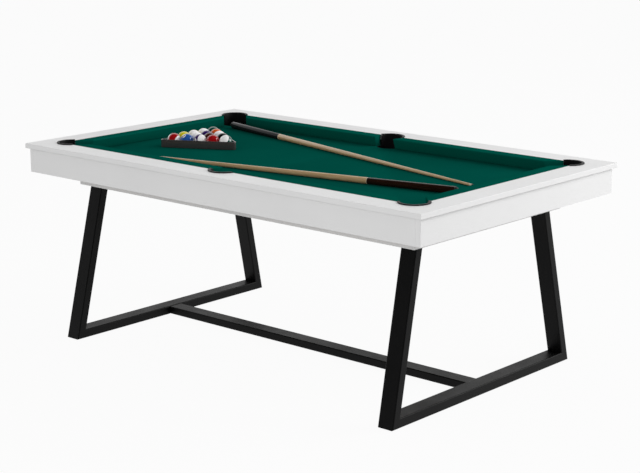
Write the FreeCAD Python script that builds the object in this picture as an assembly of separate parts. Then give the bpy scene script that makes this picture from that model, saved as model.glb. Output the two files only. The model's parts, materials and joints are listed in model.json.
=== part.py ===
import FreeCAD
import Part
import math
import os

from FreeCAD import Vector

os.makedirs("parts", exist_ok=True)

# Pool table on two splayed tube frames, with its cues, rack and balls lying on it.
# Millimetres. X runs along the table, Y across it, Z up.
# The origin is on the floor under the middle of the table.

# Overall sizes, over the top rails
table_length = 1980.0
table_width = 1184.0
table_height = 781.0

# Top rails
rail_width = 100.0
rail_thickness = 19.5
rail_overhang = 12.0
rail_edge_round = 1.5

# Aprons
apron_height = 95.0
apron_thickness = 19.0
apron_edge_round = 3.0
seam_edge = 1.0

# Playing bed
bed_drop = 40.0
bed_thickness = 18.0
cloth_thickness = 1.0

# Cushions
cushion_width = 58.0
cushion_nose_round = 7.0
cushion_undercut = 9.0
cushion_step = 0.5
corner_mouth_width = 109.0
side_mouth_width = 92.0
side_mouth_share = 0.75
facing_gap = 1.0

# Pockets. A setback is measured inwards from the inner edge of a rail.
corner_pocket_setback = 28.0
corner_cup_radius = 47.0
corner_rim_width = 7.0
side_pocket_setback = 14.0
side_cup_radius = 49.0
side_rim_width = 8.0
cup_wall = 3.0
cup_depth = 69.0
rim_height = 4.0
rim_round = 1.5
cup_clearance = 1.0
cup_sides = 36

# Plinth under the bed
plinth_inset_x = 132.0
plinth_inset_y = 141.0
plinth_drop = 55.0
plinth_lap = 3.0
plinth_thickness = 19.0

# Beams that carry the plinth under the bed
beam_count = 3
beam_pitch_share = 0.508
beam_width = 40.0
beam_step = 2.0

# Leg frames of rectangular tube, inside the plinth
leg_gap_x = 1.9
leg_gap_y = 19.3
leg_splay_degrees = 12.7
leg_lean_degrees = 1.44
tube_width = 66.0
tube_depth = 35.0
tube_wall = 2.0
tube_round = 4.0

# Stretcher between the foot bars
stretcher_step = 2.0
stretcher_round = 4.0

# Bolts through the top bars into the bed
bolt_radius = 4.0
bolt_hole_clearance = 0.3
bolt_head_radius = 7.0
bolt_head_height = 5.5
bolt_bed_depth = 13.0
bolt_place_share = 0.64
bolt_sides = 12
hexagon_sides = 6

# Steel angles between the aprons and the bed
angle_leg = 35.0
angle_thickness = 3.0
angle_length = 40.0
long_angle_share = 0.27
end_angle_share = 0.27

# Balls, rack and cues
ball_diameter = 54.0
loose_gap = 0.3
ball_side_gap = 0.4
ball_rows = 5
ball_sides = 16
ball_bands = 8
rack_wall = 5.0
rack_height = 32.0
rack_corner_radius = 8.0
rack_turn_degrees = 28.4
cue_length_share = 0.95
cue_butt_share = 0.23
cue_butt_radius = 14.0
cue_tip_radius = 4.5
cue_tip_length = 9.0
cue_tip_dome = 2.5
cue_end_round = 3.0
cue_sides = 24

# Where the rack and the cues lie, as shares of the half length and half width between the cushions
rack_centre_shares = (-0.7112, 0.0200)
front_cue_end_shares = (0.938, -0.260)
front_cue_aim_shares = (-0.935, -0.885)
rear_cue_end_shares = (-0.9595, 0.881)
rear_cue_aim_shares = (0.894, 0.074)

# How far a cutting tool runs past what it cuts
overrun = 10.0

# Points closer than this are one point
flat = 0.001

# Levels and edges that follow from the sizes above
half_length = table_length / 2
half_width = table_width / 2
rail_top = table_height
rail_bottom = rail_top - rail_thickness
cloth_top = rail_top - bed_drop
bed_top = cloth_top - cloth_thickness
bed_bottom = bed_top - bed_thickness
apron_bottom = rail_bottom - apron_height
plinth_bottom = apron_bottom - plinth_drop
plinth_top = apron_bottom + plinth_lap
rail_inner_x = half_length - rail_width
rail_inner_y = half_width - rail_width
apron_outer_x = half_length - rail_overhang
apron_outer_y = half_width - rail_overhang
apron_inner_x = apron_outer_x - apron_thickness
apron_inner_y = apron_outer_y - apron_thickness
nose_x = rail_inner_x - cushion_width
nose_y = rail_inner_y - cushion_width
plinth_outer_x = apron_outer_x - plinth_inset_x
plinth_outer_y = apron_outer_y - plinth_inset_y
plinth_inner_x = plinth_outer_x - plinth_thickness
plinth_inner_y = plinth_outer_y - plinth_thickness
corner_pocket_x = rail_inner_x - corner_pocket_setback
corner_pocket_y = rail_inner_y - corner_pocket_setback
side_pocket_y = rail_inner_y - side_pocket_setback
corner_cup_outer = corner_cup_radius + cup_wall
corner_rim_outer = corner_cup_outer + corner_rim_width
side_cup_outer = side_cup_radius + cup_wall
side_rim_outer = side_cup_outer + side_rim_width
corner_hole_radius = corner_cup_outer + cup_clearance
side_hole_radius = side_cup_outer + cup_clearance
leg_slope = math.tan(math.radians(leg_splay_degrees))
leg_lean = math.tan(math.radians(leg_lean_degrees))
foot_outer_x = plinth_inner_x - leg_gap_x + leg_lean * plinth_bottom
foot_half_span = plinth_inner_y - leg_gap_y + leg_slope * plinth_bottom
cue_length = nose_x * 2 * cue_length_share
cue_butt_length = cue_length * cue_butt_share
ball_radius = ball_diameter / 2
ball_pitch = ball_diameter + ball_side_gap

sides = {"left": -1, "right": 1}
faces = {"front": -1, "rear": 1}


def block(x0, x1, y0, y1, z0, z1):
    """Box between two corners."""
    return Part.makeBox(x1 - x0, y1 - y0, z1 - z0, Vector(x0, y0, z0))


def prism(points, z0, z1):
    """Flat outline of (x, y) points raised from z0 to z1."""
    corners = [Vector(x, y, z0) for x, y in points]
    outline = Part.makePolygon(corners + corners[:1])
    return Part.Face(outline).extrude(Vector(0, 0, z1 - z0))


def post(x, y, radius, z0, z1):
    """Upright cylinder."""
    return Part.makeCylinder(radius, z1 - z0, Vector(x, y, z0))


def solid_from_faces(loops):
    """Solid inside a closed set of flat faces, each given by its corners."""
    shell = Part.makeShell([Part.Face(Part.makePolygon(loop + loop[:1])) for loop in loops])
    shell.sewShape()
    solid = Part.makeSolid(shell)
    if solid.Orientation == "Reversed":
        solid = Part.makeSolid(shell.reversed())
    return solid


def faceted(rings, count):
    """Many-sided solid about the Z axis through rings of (height, radius)."""
    loops = []
    circles = []
    for z, radius in rings:
        angles = [math.pi * 2 * i / count for i in range(count)]
        circles.append([Vector(radius * math.cos(a), radius * math.sin(a), z) for a in angles])
    for lower, upper in zip(circles, circles[1:]):
        for i in range(count):
            corners = [lower[i], lower[i - 1], upper[i - 1], upper[i]]
            apart = [point for k, point in enumerate(corners) if not point.isEqual(corners[k - 1], flat)]
            loops.append(apart)
    for circle in (circles[0], circles[-1]):
        if not circle[0].isEqual(circle[1], flat):
            loops.append(circle)
    return solid_from_faces(loops)


def solid_from_loops(first, second):
    """Flat-sided solid between two loops of matching corners."""
    count = len(first)
    loops = [first, second]
    for i in range(count):
        j = (i + 1) % count
        loops.append([first[i], first[j], second[j], second[i]])
    return solid_from_faces(loops)


def edges_between(shape, low, high):
    """Edges whose both ends lie in a box."""
    found = []
    for edge in shape.Edges:
        ends = [vertex.Point for vertex in edge.Vertexes]
        inside = [low[i] <= end[i] <= high[i] for end in ends for i in range(len(low))]
        if len(ends) > 1 and all(inside):
            found.append(edge)
    return found


def mirrored(shape, side, face):
    """Copy of a piece of the right rear quarter, moved to another quarter."""
    if side < 0:
        shape = shape.mirror(Vector(0, 0, 0), Vector(1, 0, 0))
    if face < 0:
        shape = shape.mirror(Vector(0, 0, 0), Vector(0, 1, 0))
    return shape


def save(name, shape):
    shape.exportStep(os.path.join("parts", name + ".step"))


# Pockets

def pocket_places():
    """Which side and face each pocket is at, its centre and the radius of the hole for its cup."""
    places = []
    for face in faces.values():
        places.append((0, face, 0, face * side_pocket_y, side_hole_radius))
        for side in sides.values():
            x = side * corner_pocket_x
            y = face * corner_pocket_y
            places.append((side, face, x, y, corner_hole_radius))
    return places


def cut_pockets(shape, z0, z1):
    """Take the pocket holes out of a piece that they pass through."""
    for side, face, x, y, radius in pocket_places():
        hole = post(x, y, radius, z0, z1)
        if shape.BoundBox.intersect(hole.BoundBox):
            shape = shape.cut(hole)
    return shape


def pocket_liner(x, y, cup_radius, rim_outer, mouth_turn, mouth_reach):
    """Moulded cup with a raised rim, open above the bed on the side of the table's middle."""
    cup_outer = cup_radius + cup_wall
    cup_bottom = cloth_top - cup_depth
    rim_top = rail_top + rim_height
    rings = [
        (cup_bottom, 0),
        (cup_bottom, cup_outer),
        (rail_top, cup_outer),
        (rail_top, rim_outer),
        (rim_top - rim_round, rim_outer),
        (rim_top, rim_outer - rim_round),
        (rim_top, cup_outer),
        (rail_top, cup_radius),
        (cup_bottom + cup_wall, cup_radius),
        (cup_bottom + cup_wall, 0),
    ]
    liner = faceted(rings, cup_sides).removeSplitter()
    reach = rim_outer + overrun
    mouth = block(-reach, -mouth_reach, -reach, reach, bed_top, rim_top + overrun)
    mouth.rotate(Vector(0, 0, 0), Vector(0, 0, 1), mouth_turn)
    liner = liner.cut(mouth)
    liner.translate(Vector(x, y, 0))
    above = rim_top + overrun
    playing_side = block(-rail_inner_x, rail_inner_x, -rail_inner_y, rail_inner_y, rail_top, above)
    return liner.cut(playing_side)


def corner_pocket_liner():
    x = corner_pocket_x
    y = corner_pocket_y
    mouth_reach = (x + y - corner_back_x() - rail_inner_y) / math.sqrt(2)
    diagonal = math.degrees(math.atan2(1, 1))
    return pocket_liner(x, y, corner_cup_radius, corner_rim_outer, diagonal, mouth_reach)


def side_pocket_liner():
    upright = math.degrees(math.atan2(1, 0))
    mouth_reach = side_pocket_y - nose_y - cushion_width * side_mouth_share
    return pocket_liner(0, side_pocket_y, side_cup_radius, side_rim_outer, upright, mouth_reach)


# Top rails and aprons

def long_rail():
    """Rear rail, mitred at both ends, with its outer edges eased."""
    outline = [
        (-half_length, half_width),
        (half_length, half_width),
        (rail_inner_x, rail_inner_y),
        (-rail_inner_x, rail_inner_y),
    ]
    rail = prism(outline, rail_bottom, rail_top)
    low = (-table_length, half_width - rail_edge_round, 0)
    high = (table_length, table_width, table_height)
    lengthwise = [e for e in edges_between(rail, low, high) if e.Length > table_width]
    rail = rail.makeFillet(rail_edge_round, lengthwise)
    return cut_pockets(rail, rail_bottom - overrun, rail_top + overrun)


def end_rail():
    """Right rail, mitred at both ends, with its outer edges eased."""
    outline = [
        (half_length, -half_width),
        (half_length, half_width),
        (rail_inner_x, rail_inner_y),
        (rail_inner_x, -rail_inner_y),
    ]
    rail = prism(outline, rail_bottom, rail_top)
    low = (half_length - rail_edge_round, -table_width, 0)
    high = (table_length, table_width, table_height)
    lengthwise = [e for e in edges_between(rail, low, high) if e.Length > rail_width]
    rail = rail.makeFillet(rail_edge_round, lengthwise)
    return cut_pockets(rail, rail_bottom - overrun, rail_top + overrun)


def long_apron():
    """Rear apron. Its outer end edges are bevelled where the end aprons meet it."""
    apron = block(-apron_inner_x, apron_inner_x, apron_inner_y, apron_outer_y, apron_bottom, rail_bottom)
    low = (-table_length, apron_outer_y - flat, 0)
    high = (table_length, table_width, table_height)
    upright = [e for e in edges_between(apron, low, high) if e.BoundBox.ZLength > apron_height / 2]
    return apron.makeChamfer(seam_edge, upright)


def end_apron():
    """Right apron. It covers the ends of the long aprons, and bevelled edges mark the seams with them."""
    apron = block(apron_inner_x, apron_outer_x, -apron_outer_y, apron_outer_y, apron_bottom, rail_bottom)
    low = (apron_outer_x - apron_edge_round, -table_width, 0)
    high = (table_length, table_width, table_height)
    upright = [e for e in edges_between(apron, low, high) if e.BoundBox.ZLength > apron_height / 2]
    apron = apron.makeFillet(apron_edge_round, upright)
    low = (apron_inner_x - flat, -table_width, 0)
    high = (apron_inner_x + flat, table_width, table_height)
    seams = [e for e in edges_between(apron, low, high) if e.BoundBox.ZLength > apron_height / 2]
    return apron.makeChamfer(seam_edge, seams)


# Bed, cloth, blocks and cushions

def bed_panel():
    """Board with a notch at each pocket, open to its edge, and blind holes for the leg bolts."""
    panel = block(-apron_inner_x, apron_inner_x, -apron_inner_y, apron_inner_y, bed_bottom, bed_top)
    panel = cut_pockets(panel, bed_bottom - overrun, bed_top + overrun)
    for side, face, x, y, radius in pocket_places():
        far_x = side * half_length if side else radius
        near_x = x if side else -radius
        left, right = sorted((near_x, far_x))
        front, rear = sorted((y, face * half_width))
        panel = panel.cut(block(left, right, front, rear, bed_bottom - overrun, bed_top + overrun))
    for side in sides.values():
        for x, y in bolt_places(side):
            panel = panel.cut(bolt_hole(x, y, bed_bottom - overrun, bed_bottom + bolt_bed_depth))
    return panel


def bed_cloth():
    cloth = block(-rail_inner_x, rail_inner_x, -rail_inner_y, rail_inner_y, bed_top, cloth_top)
    return cut_pockets(cloth, bed_top - overrun, cloth_top + overrun)


def cushion_blocks():
    """Six blocks on the bed, behind the cushions and under the rails."""
    corner_end = corner_pocket_x - corner_hole_radius - facing_gap
    corner_side = corner_pocket_y - corner_hole_radius - facing_gap
    side_end = side_hole_radius + facing_gap
    blocks = []
    for face in faces.values():
        for side in sides.values():
            wood = block(side_end, corner_end, rail_inner_y, apron_inner_y, bed_top, rail_bottom)
            blocks.append(mirrored(wood, side, face))
    for side in sides.values():
        wood = block(rail_inner_x, apron_inner_x, -corner_side, corner_side, bed_top, rail_bottom)
        blocks.append(mirrored(wood, side, 1))
    return Part.makeCompound(blocks)


def rim_crossing(centre_across, edge, rim_outer):
    """How far from a pocket's middle its rim meets the inner edge of a rail."""
    across = edge - centre_across
    return math.sqrt(rim_outer * rim_outer - across * across)


def corner_back_x():
    """Where a long cushion's end meets its rail at a corner pocket."""
    return corner_pocket_x - rim_crossing(corner_pocket_y, rail_inner_y, corner_rim_outer) - facing_gap


def corner_back_y():
    """Where an end cushion's end meets its rail at a corner pocket."""
    return corner_pocket_y - rim_crossing(corner_pocket_x, rail_inner_x, corner_rim_outer) - facing_gap


def cushion_profile():
    """Section of a cushion as (distance from the rail, height): flat top, round nose, undercut face."""
    top = rail_top - cushion_step
    centre = cushion_width - cushion_nose_round
    nose_low = top - cushion_nose_round
    slant = math.atan2(cushion_undercut, nose_low - cloth_top)
    middle = (math.pi / 2 - slant) / 2
    arc_end = (
        centre + cushion_nose_round * math.cos(slant),
        nose_low - cushion_nose_round * math.sin(slant),
    )
    arc_middle = (
        centre + cushion_nose_round * math.cos(middle),
        nose_low + cushion_nose_round * math.sin(middle),
    )
    return top, (centre, top), arc_middle, arc_end, (cushion_width - cushion_undercut, cloth_top)


def cushion_bar(length):
    """Cushion section along X, from the middle out to both sides, its back on the plane y = 0."""
    top, arc_start, arc_middle, arc_end, foot = cushion_profile()
    def at(point):
        return Vector(-length, -point[0], point[1])
    back_top = Vector(-length, 0, top)
    back_foot = Vector(-length, 0, cloth_top)
    edges = [
        Part.LineSegment(back_top, at(arc_start)).toShape(),
        Part.Arc(at(arc_start), at(arc_middle), at(arc_end)).toShape(),
        Part.LineSegment(at(arc_end), at(foot)).toShape(),
        Part.LineSegment(at(foot), back_foot).toShape(),
        Part.LineSegment(back_foot, back_top).toShape(),
    ]
    return Part.Face(Part.Wire(edges)).extrude(Vector(length * 2, 0, 0))


def long_cushion():
    """Cushion on the right half of the rear rail."""
    mouth = corner_mouth_width / math.sqrt(2)
    side_end = side_mouth_width / 2
    side_back = max(side_end, rim_crossing(side_pocket_y, rail_inner_y, side_rim_outer) + facing_gap)
    plan = [
        (side_end, nose_y),
        (nose_x - mouth, nose_y),
        (corner_back_x(), rail_inner_y),
        (side_back, rail_inner_y),
    ]
    bar = cushion_bar(half_length)
    bar.translate(Vector(0, rail_inner_y, 0))
    return bar.common(prism(plan, cloth_top, rail_top))


def end_cushion():
    """Cushion on the right rail."""
    mouth = corner_mouth_width / math.sqrt(2)
    plan = [
        (nose_x, -nose_y + mouth),
        (nose_x, nose_y - mouth),
        (rail_inner_x, corner_back_y()),
        (rail_inner_x, -corner_back_y()),
    ]
    bar = cushion_bar(half_width)
    bar.rotate(Vector(0, 0, 0), Vector(0, 0, 1), -90)
    bar.translate(Vector(rail_inner_x, 0, 0))
    return bar.common(prism(plan, cloth_top, rail_top))


# Plinth and beams

def long_plinth_board():
    """Rear board. It covers the ends of the end boards."""
    return block(-plinth_outer_x, plinth_outer_x, plinth_inner_y, plinth_outer_y, plinth_bottom, plinth_top)


def end_plinth_board():
    """Right board."""
    return block(plinth_inner_x, plinth_outer_x, -plinth_inner_y, plinth_inner_y, plinth_bottom, plinth_top)


def bed_beams():
    """Beams between the long plinth boards, up to the underside of the bed."""
    half = beam_width / 2
    beam_bottom = plinth_bottom + beam_step
    beams = []
    for i in range(beam_count):
        x = (i - (beam_count - 1) / 2) * beam_pitch_share * plinth_inner_x
        beams.append(block(x - half, x + half, -plinth_inner_y, plinth_inner_y, beam_bottom, bed_bottom))
    return Part.makeCompound(beams)


# Leg frames. Each is a closed trapezoid of tube in a plane that leans outwards a little.

def frame_edge_y(offset, z):
    """Half width of the trapezoid at a height, a distance inside its outer edge."""
    return foot_half_span - leg_slope * z - offset / math.cos(math.radians(leg_splay_degrees))


def frame_corner(face, at_top, offset):
    """Corner of the trapezoid, a distance inside its outer edge, as (y, z)."""
    z = bed_bottom - offset if at_top else offset
    return face * frame_edge_y(offset, z), z


def member_loop(ends, inset, x_offset):
    """Four corners of a frame member on the plane that leans at an offset from the outer side."""
    inner = tube_depth - inset
    points = [
        frame_corner(*ends[0], inset),
        frame_corner(*ends[1], inset),
        frame_corner(*ends[1], inner),
        frame_corner(*ends[0], inner),
    ]
    return [Vector(foot_outer_x - leg_lean * z - x_offset, y, z) for y, z in points]


def frame_member(ends):
    """One mitred tube of the right leg frame, between two corners of the trapezoid."""
    far_wall = tube_width - tube_wall
    outside = solid_from_loops(member_loop(ends, 0, 0), member_loop(ends, 0, tube_width))
    lengthwise = [edge for edge in outside.Edges if edge.Length > tube_width * 2]
    outside = outside.makeFillet(tube_round, lengthwise)
    bore = solid_from_loops(member_loop(ends, tube_wall, tube_wall), member_loop(ends, tube_wall, far_wall))
    return outside.cut(bore)


def leg():
    """Right rear leg."""
    return frame_member([(1, False), (1, True)])


def foot_bar():
    """Right foot bar."""
    return frame_member([(-1, False), (1, False)])


def top_bar():
    """Right top bar, drilled for the bolts into the bed."""
    bar = frame_member([(-1, True), (1, True)])
    for x, y in bolt_places(1):
        bar = bar.cut(bolt_hole(x, y, bed_bottom - tube_depth - overrun, bed_top))
    return bar


def stretcher():
    """Bar between the foot bars, a step lower than their tops and clear of the floor."""
    z0 = stretcher_step
    z1 = tube_depth - stretcher_step
    half = tube_width / 2
    loops = []
    for z in (z0, z1):
        x = foot_outer_x - tube_width - leg_lean * z
        loops.append([Vector(-x, -half, z), Vector(x, -half, z), Vector(x, half, z), Vector(-x, half, z)])
    outside = solid_from_loops(*loops)
    lengthwise = [edge for edge in outside.Edges if edge.Length > tube_width * 2]
    outside = outside.makeFillet(stretcher_round, lengthwise)
    bore = block(
        -half_length,
        half_length,
        -half + tube_wall,
        half - tube_wall,
        z0 + tube_wall,
        z1 - tube_wall,
    )
    return outside.cut(bore)


# Bolts and angles

def bolt_places(side):
    """Bolt centres in one top bar."""
    x = foot_outer_x - leg_lean * bed_bottom - tube_width / 2
    y = frame_edge_y(tube_depth, bed_bottom) * bolt_place_share
    return [(side * x, face * y) for face in faces.values()]


def bolt_hole(x, y, z0, z1):
    """Cutter for a bolt's clearance hole, with the bolt's own number of sides."""
    radius = bolt_radius + bolt_hole_clearance
    hole = faceted([(z0, radius), (z1, radius)], bolt_sides)
    hole.translate(Vector(x, y, 0))
    return hole


def top_bar_bolts():
    """Hexagon bolts up through both walls of each top bar into the bed."""
    seat = bed_bottom - tube_depth
    head = faceted([(seat - bolt_head_height, bolt_head_radius), (seat, bolt_head_radius)], hexagon_sides)
    shank_rings = [(seat - bolt_head_height / 2, bolt_radius), (bed_bottom + bolt_bed_depth, bolt_radius)]
    shank = faceted(shank_rings, bolt_sides)
    bolt = head.fuse(shank).removeSplitter()
    places = [place for side in sides.values() for place in bolt_places(side)]
    return Part.makeCompound([bolt.translated(Vector(x, y, 0)) for x, y in places])


def apron_angle():
    """Steel angle in the corner between the bed's underside and an apron, its length along X."""
    half = angle_length / 2
    outline = [
        (0, 0),
        (-angle_leg, 0),
        (-angle_leg, -angle_thickness),
        (-angle_thickness, -angle_thickness),
        (-angle_thickness, -angle_leg),
        (0, -angle_leg),
    ]
    corners = [Vector(-half, y, z) for y, z in outline]
    return Part.Face(Part.makePolygon(corners + corners[:1])).extrude(Vector(angle_length, 0, 0))


def apron_angles():
    """Angles along each apron, clear of the pockets."""
    angles = []
    for face in faces.values():
        for side in sides.values():
            piece = apron_angle()
            piece.translate(Vector(side * long_angle_share * apron_inner_x, apron_inner_y, bed_bottom))
            angles.append(mirrored(piece, 1, face))
    for side in sides.values():
        for face in faces.values():
            piece = apron_angle()
            piece.rotate(Vector(0, 0, 0), Vector(0, 0, 1), -90)
            piece.translate(Vector(apron_inner_x, face * end_angle_share * apron_inner_y, bed_bottom))
            angles.append(mirrored(piece, side, 1))
    return Part.makeCompound(angles)


# Balls and rack

def bed_place(shares):
    """Point on the bed from shares of the half length and half width between the cushions."""
    return shares[0] * nose_x, shares[1] * nose_y


def rack_point(along, away):
    """Point on the bed in the rack's own directions: along its base, and from the base to the apex."""
    turn = math.radians(rack_turn_degrees)
    centre_x, centre_y = bed_place(rack_centre_shares)
    x = centre_x + along * math.cos(turn) - away * math.sin(turn)
    y = centre_y + along * math.sin(turn) + away * math.cos(turn)
    return x, y


def ball_places():
    """Fifteen centres in five rows, the longest row beside the rack's base."""
    row_step = ball_pitch * math.sqrt(3) / 2
    first = -row_step * (ball_rows - 1) / 3
    places = []
    for row in range(ball_rows):
        count = ball_rows - row
        for i in range(count):
            along = (i - (count - 1) / 2) * ball_pitch
            places.append(rack_point(along, first + row * row_step))
    return places


def ball(x, y):
    """Ball built of flat facets between meridians and parallels, its poles at the top and the bottom."""
    z = cloth_top + loose_gap + ball_radius
    rings = []
    for band in range(ball_bands + 1):
        polar = math.pi * band / ball_bands
        rings.append((z - ball_radius * math.cos(polar), ball_radius * math.sin(polar)))
    solid = faceted(rings, ball_sides)
    solid.translate(Vector(x, y, 0))
    return solid


def rounded_triangle(side, radius, z0, z1):
    """Upright prism on an equal-sided triangle with round corners, centred on the rack."""
    height = side * math.sqrt(3) / 2
    corners = [(-side / 2, -height / 3), (side / 2, -height / 3), (0, height * 2 / 3)]
    shape = prism([rack_point(along, away) for along, away in corners], z0, z1)
    upright = [edge for edge in shape.Edges if edge.BoundBox.ZLength > (z1 - z0) / 2]
    return shape.makeFillet(radius, upright)


def rack():
    """Triangle frame round the balls."""
    inner_side = ball_pitch * (ball_rows - 1) + (ball_diameter + ball_side_gap * 2) * math.sqrt(3)
    outer_side = inner_side + rack_wall * 2 * math.sqrt(3)
    z0 = cloth_top + loose_gap
    z1 = z0 + rack_height
    outside = rounded_triangle(outer_side, rack_corner_radius + rack_wall, z0, z1)
    return outside.cut(rounded_triangle(inner_side, rack_corner_radius, z0 - overrun, z1 + overrun))


# Cues. Each is turned about its own axis, and lies with its lowest line on the cloth.

def cue_radius(along):
    """Radius at a distance from the butt end."""
    return cue_butt_radius + (cue_tip_radius - cue_butt_radius) * along / cue_length


def cue_pieces():
    """Butt, shaft and tip, many-sided and standing up, with the butt's end at the origin."""
    joint = cue_butt_length
    collar = cue_length - cue_tip_length
    butt = [
        (0, cue_radius(0) - cue_end_round),
        (cue_end_round, cue_radius(cue_end_round)),
        (joint, cue_radius(joint)),
    ]
    shaft = [(joint, cue_radius(joint)), (collar, cue_radius(collar))]
    tip = [
        (collar, cue_radius(collar)),
        (cue_length - cue_tip_dome, cue_tip_radius),
        (cue_length, cue_tip_radius / 2),
    ]
    rings = {"butt": butt, "shaft": shaft, "tip": tip}
    return {name: faceted(piece_rings, cue_sides) for name, piece_rings in rings.items()}


def laid_cue(end_shares, aim_shares):
    """Cue pieces laid on the cloth with the butt's end at one place, pointing at another."""
    end_x, end_y = bed_place(end_shares)
    aim_x, aim_y = bed_place(aim_shares)
    turn_degrees = math.degrees(math.atan2(aim_y - end_y, aim_x - end_x))
    droop = math.degrees(math.atan2(cue_butt_radius - cue_tip_radius, cue_length))
    upright = math.degrees(math.atan2(1, 0))
    axis_z = cloth_top + loose_gap + cue_butt_radius / math.cos(math.radians(droop))
    pieces = cue_pieces()
    for piece in pieces.values():
        piece.rotate(Vector(0, 0, 0), Vector(0, 1, 0), upright + droop)
        piece.rotate(Vector(0, 0, 0), Vector(0, 0, 1), turn_degrees)
        piece.translate(Vector(end_x, end_y, axis_z))
    return pieces


# Write every piece

for face_name, face in faces.items():
    save(face_name + "_top_rail", mirrored(long_rail(), 1, face))
    save(face_name + "_apron", mirrored(long_apron(), 1, face))
    save(face_name + "_plinth_board", mirrored(long_plinth_board(), 1, face))
    save(face_name + "_side_pocket", mirrored(side_pocket_liner(), 1, face))

for side_name, side in sides.items():
    save(side_name + "_top_rail", mirrored(end_rail(), side, 1))
    save(side_name + "_apron", mirrored(end_apron(), side, 1))
    save(side_name + "_plinth_board", mirrored(end_plinth_board(), side, 1))
    save(side_name + "_cushion", mirrored(end_cushion(), side, 1))
    save(side_name + "_foot_bar", mirrored(foot_bar(), side, 1))

for face_name, face in faces.items():
    for side_name, side in sides.items():
        corner = face_name + "_" + side_name
        save(corner + "_pocket", mirrored(corner_pocket_liner(), side, face))
        save(corner + "_cushion", mirrored(long_cushion(), side, face))
        save(corner + "_leg", mirrored(leg(), side, face))

save("leg_top_bars", Part.makeCompound([mirrored(top_bar(), side, 1) for side in sides.values()]))
save("stretcher", stretcher())
save("bed_panel", bed_panel())
save("bed_cloth", bed_cloth())
save("bed_beams", bed_beams())
save("cushion_blocks", cushion_blocks())
save("top_bar_bolts", top_bar_bolts())
save("apron_angles", apron_angles())
save("rack", rack())

for number, (x, y) in enumerate(ball_places(), start=1):
    save("ball_%02d" % number, ball(x, y))

cues = {
    "front_cue": laid_cue(front_cue_end_shares, front_cue_aim_shares),
    "rear_cue": laid_cue(rear_cue_end_shares, rear_cue_aim_shares),
}
for cue_name, pieces in cues.items():
    for piece_name, piece in pieces.items():
        save(cue_name + "_" + piece_name, piece)
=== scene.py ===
import json
import math

import bmesh
import bpy
from mathutils import Matrix, Vector


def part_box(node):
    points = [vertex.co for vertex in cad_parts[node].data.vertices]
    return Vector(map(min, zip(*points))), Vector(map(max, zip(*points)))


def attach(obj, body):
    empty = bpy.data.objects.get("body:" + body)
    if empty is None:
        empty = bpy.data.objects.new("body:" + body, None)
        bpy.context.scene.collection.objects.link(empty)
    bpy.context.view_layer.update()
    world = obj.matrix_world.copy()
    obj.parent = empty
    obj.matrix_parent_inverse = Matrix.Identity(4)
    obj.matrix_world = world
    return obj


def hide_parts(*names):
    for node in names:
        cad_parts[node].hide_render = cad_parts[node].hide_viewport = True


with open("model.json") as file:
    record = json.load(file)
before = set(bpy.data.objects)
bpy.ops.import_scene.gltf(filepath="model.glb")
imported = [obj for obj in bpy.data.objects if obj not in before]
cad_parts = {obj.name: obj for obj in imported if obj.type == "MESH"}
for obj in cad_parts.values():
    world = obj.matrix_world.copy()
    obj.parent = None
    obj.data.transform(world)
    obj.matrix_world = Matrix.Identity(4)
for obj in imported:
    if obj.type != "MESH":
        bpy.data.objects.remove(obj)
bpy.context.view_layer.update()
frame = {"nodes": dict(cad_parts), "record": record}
scene = bpy.context.scene

# Pool table with its cues, rack and balls. Metres, X along the table, Y across it, Z up.
# Heights and places that most pieces share
levels = {
    "bedTop": 0.740,
    "clothTop": 0.741,
    "railTop": 0.781,
    "looseGap": 0.0003,     # between the cloth and what lies on it
}
inner = {
    "railX": 0.890, "railY": 0.492,     # the rails' inner faces
    "noseX": 0.832, "noseY": 0.434,     # the nose lines, which set out cushion ends and cues
}
pockets = {"corner": (0.862, 0.464), "side": (0.0, 0.478)}
sideSigns = (("left", -1), ("right", 1))
faceSigns = (("front", -1), ("rear", 1))
mergeReach = 1e-6       # points nearer than this become one


# Camera, where the photographer stood

camera = {
    "place": (4.1084, -4.6315, 1.9043),
    "tilt": 76.784,         # degrees from straight down
    "turn": 41.283,
    "lens": 92.2,
    "sensor": 36.0,
    "farthest": 200.0,
}
cameraData = bpy.data.cameras.new("viewCamera")
cameraData.lens = camera["lens"]
cameraData.sensor_width = camera["sensor"]
cameraData.sensor_fit = "HORIZONTAL"
cameraData.clip_end = camera["farthest"]
viewCamera = bpy.data.objects.new("viewCamera", cameraData)
viewCamera.location = camera["place"]
viewCamera.rotation_euler = (math.radians(camera["tilt"]), 0, math.radians(camera["turn"]))
scene.collection.objects.link(viewCamera)
scene.camera = viewCamera


# Shader helpers

def wire(tree, socket, value):
    if isinstance(value, bpy.types.NodeSocket):
        tree.links.new(value, socket)
    else:
        socket.default_value = value


def addNode(tree, kind, inputs, **settings):
    node = tree.nodes.new(kind)
    for name, value in settings.items():
        setattr(node, name, value)
    for name, value in inputs.items():
        wire(tree, node.inputs[name], value)
    return node


def mixColours(tree, factor, first, second):
    node = addNode(tree, "ShaderNodeMix", {}, data_type="RGBA")
    for index, value in ((0, factor), (6, first), (7, second)):
        wire(tree, node.inputs[index], value)
    return node.outputs[2]


def sums(tree, operation, *values):
    node = addNode(tree, "ShaderNodeMath", {}, operation=operation)
    for index, value in enumerate(values):
        wire(tree, node.inputs[index], value)
    return node.outputs[0]


def blended(tree, *masks):
    # Two masks added, each by its share
    return sums(tree, "ADD", *[sums(tree, "MULTIPLY", mask, share) for mask, share in masks])


def spread(tree, value, low, high, outLow=0.0, outHigh=1.0):
    names = ("Value", "From Min", "From Max", "To Min", "To Max")
    inputs = dict(zip(names, (value, low, high, outLow, outHigh)))
    return addNode(tree, "ShaderNodeMapRange", inputs).outputs[0]


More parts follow.
